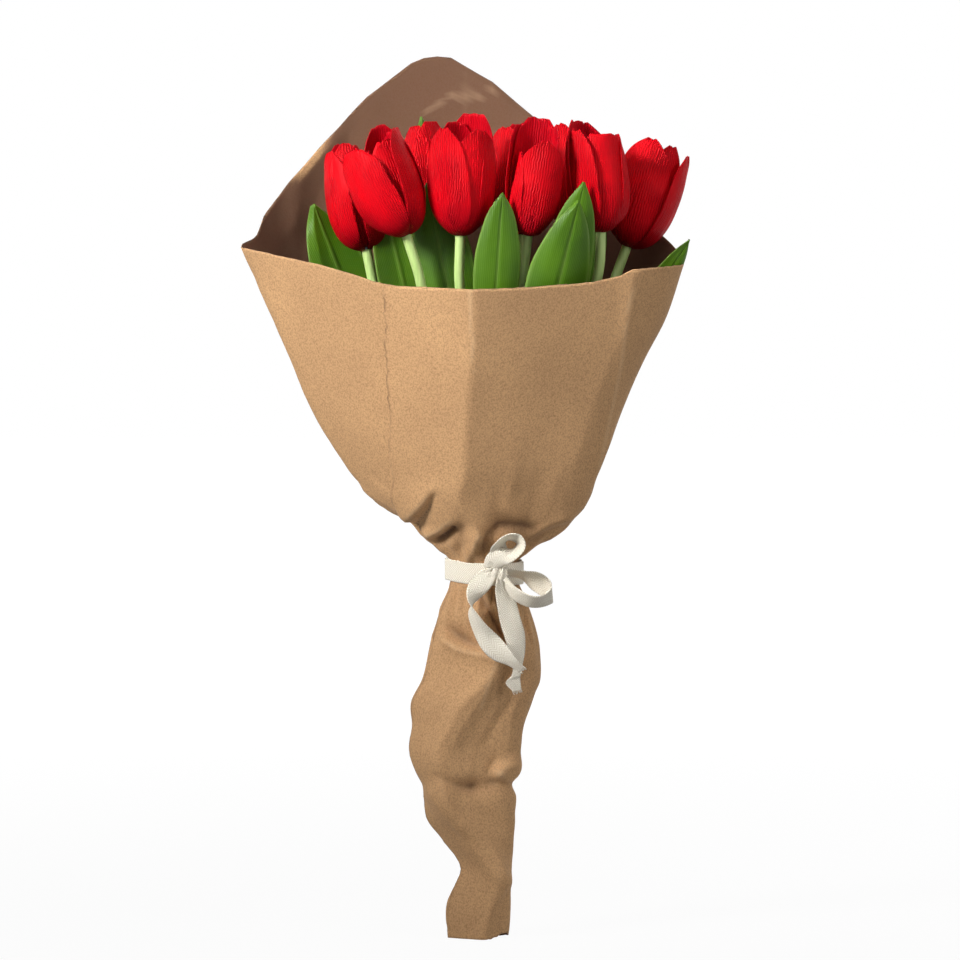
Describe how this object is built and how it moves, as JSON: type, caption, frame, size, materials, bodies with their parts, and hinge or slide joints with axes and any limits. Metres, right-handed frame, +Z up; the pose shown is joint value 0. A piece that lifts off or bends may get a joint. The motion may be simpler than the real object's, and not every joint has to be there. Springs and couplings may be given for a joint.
{
  "type": "wrapped artificial tulip bouquet",
  "caption": "Artificial tulips with fabric petals, rolled in a sheet of kraft paper that is tied at the waist with a cotton tape bow.",
  "frame": {"origin": "centre of the tie, where a hand holds the bouquet", "axes": "+Z up along the stems to the heads, -Y towards the bow and the low front rim, +X to the right seen from the bow side"},
  "size_m": [0.2394, 0.1529, 0.474],
  "materials": {
    "petal_cloth": "printed polyester cloth with pressed veins",
    "stem_plastic": "soft matt plastic",
    "leaf_plastic": "satin plastic with pressed veins",
    "pistil_plastic": "matt",
    "steel_wire": "galvanised",
    "kraft_paper": "matt kraft paper",
    "cotton": "undyed herringbone twill tape"
  },
  "bodies": {
    "wrap": {"kraft_wrap": "kraft_paper", "cotton_tape": "cotton"},
    "bunch": {"stem_1": "stem_plastic", "outer_petals_1": "petal_cloth", "inner_petals_1": "petal_cloth", "pistil_1": "pistil_plastic", "leaf_1": "leaf_plastic", "stem_2": "stem_plastic", "outer_petals_2": "petal_cloth", "inner_petals_2": "petal_cloth", "pistil_2": "pistil_plastic", "leaf_2": "leaf_plastic", "stem_3": "stem_plastic", "outer_petals_3": "petal_cloth", "inner_petals_3": "petal_cloth", "pistil_3": "pistil_plastic", "leaf_3": "leaf_plastic", "stem_4": "stem_plastic", "outer_petals_4": "petal_cloth", "inner_petals_4": "petal_cloth", "pistil_4": "pistil_plastic", "leaf_4": "leaf_plastic", "stem_5": "stem_plastic", "outer_petals_5": "petal_cloth", "inner_petals_5": "petal_cloth", "pistil_5": "pistil_plastic", "leaf_5": "leaf_plastic", "stem_6": "stem_plastic", "outer_petals_6": "petal_cloth", "inner_petals_6": "petal_cloth", "pistil_6": "pistil_plastic", "leaf_6": "leaf_plastic", "stem_7": "stem_plastic", "outer_petals_7": "petal_cloth", "inner_petals_7": "petal_cloth", "pistil_7": "pistil_plastic", "leaf_7": "leaf_plastic", "stem_8": "stem_plastic", "outer_petals_8": "petal_cloth", "inner_petals_8": "petal_cloth", "pistil_8": "pistil_plastic", "leaf_8": "leaf_plastic", "stem_9": "stem_plastic", "outer_petals_9": "petal_cloth", "inner_petals_9": "petal_cloth", "pistil_9": "pistil_plastic", "leaf_9": "leaf_plastic", "stem_wires": "steel_wire"}
  },
  "joints": [
    {"name": "bunch_lift", "type": "slide", "parent": "wrap", "child": "bunch", "axis": [0, 0, 1], "range_m": [0, 0.3]}
  ]
}
